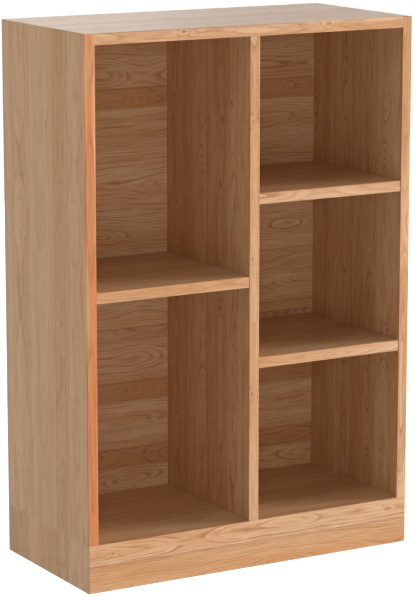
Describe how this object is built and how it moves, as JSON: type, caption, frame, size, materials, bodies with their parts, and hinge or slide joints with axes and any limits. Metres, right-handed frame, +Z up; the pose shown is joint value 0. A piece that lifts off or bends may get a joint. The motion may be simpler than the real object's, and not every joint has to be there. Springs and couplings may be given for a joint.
{
  "type": "bookcase",
  "caption": "Low open bookcase of veneered oak board on a plinth, with a divider and loose shelves resting on steel pins.",
  "frame": {"origin": "on the floor, at the middle of the plinth's outline", "axes": "+Z up, the open front faces -Y, +X to the right of someone standing before it"},
  "size_m": [0.611, 0.292, 0.9],
  "materials": {
    "top_veneer": "satin oiled oak veneer, grain along X",
    "side_veneer": "satin oiled oak veneer, grain upright",
    "divider_veneer": "satin oiled oak veneer, grain upright",
    "shelf_veneer": "satin oiled oak veneer, grain along X",
    "back_veneer": "satin oiled oak plywood, grain along X",
    "edge_strip": "satin oiled solid oak",
    "plinth_veneer": "satin oiled oak veneer",
    "raw_softwood": "planed, unfinished",
    "plywood_spline": "unfinished plywood",
    "beech_dowel": "unfinished, ribbed",
    "zinc_screw": "zinc plated",
    "pin_steel": "bright nickel plated"
  },
  "bodies": {
    "case": {"top_panel": "top_veneer", "left_side_panel": "side_veneer", "right_side_panel": "side_veneer", "divider_panel": "divider_veneer", "bottom_panel": "shelf_veneer", "back_panel": "back_veneer", "left_side_edging": "edge_strip", "right_side_edging": "edge_strip", "top_edging": "edge_strip", "divider_edging": "edge_strip", "plinth_front": "plinth_veneer", "plinth_left": "plinth_veneer", "plinth_right": "plinth_veneer", "plinth_back": "raw_softwood", "plinth_brace": "raw_softwood", "top_left_spline": "plywood_spline", "top_right_spline": "plywood_spline", "base_left_spline": "plywood_spline", "base_right_spline": "plywood_spline", "side_dowels": "beech_dowel", "divider_dowels": "beech_dowel", "brace_dowels": "beech_dowel", "plinth_back_dowels": "beech_dowel", "cleat_screws": "zinc_screw", "divider_screws": "zinc_screw", "back_screws": "zinc_screw", "left_shelf_pins": "pin_steel", "upper_right_shelf_pins": "pin_steel", "lower_right_shelf_pins": "pin_steel", "left_cleat": "raw_softwood", "right_cleat": "raw_softwood", "front_left_cleat": "raw_softwood", "front_right_cleat": "raw_softwood", "back_left_cleat": "raw_softwood", "back_right_cleat": "raw_softwood", "front_left_block": "raw_softwood", "front_right_block": "raw_softwood", "back_left_block": "raw_softwood", "back_right_block": "raw_softwood"},
    "left_shelf": {"left_shelf": "shelf_veneer", "left_shelf_edging": "edge_strip"},
    "upper_right_shelf": {"upper_right_shelf": "shelf_veneer", "upper_right_shelf_edging": "edge_strip"},
    "lower_right_shelf": {"lower_right_shelf": "shelf_veneer", "lower_right_shelf_edging": "edge_strip"}
  },
  "joints": [
    {"name": "left_shelf_lift", "type": "slide", "parent": "case", "child": "left_shelf", "axis": [0, 0, 1], "range_m": [0, 0.39]},
    {"name": "upper_right_shelf_lift", "type": "slide", "parent": "case", "child": "upper_right_shelf", "axis": [0, 0, 1], "range_m": [0, 0.254]},
    {"name": "lower_right_shelf_lift", "type": "slide", "parent": "case", "child": "lower_right_shelf", "axis": [0, 0, 1], "range_m": [0, 0.247]}
  ]
}
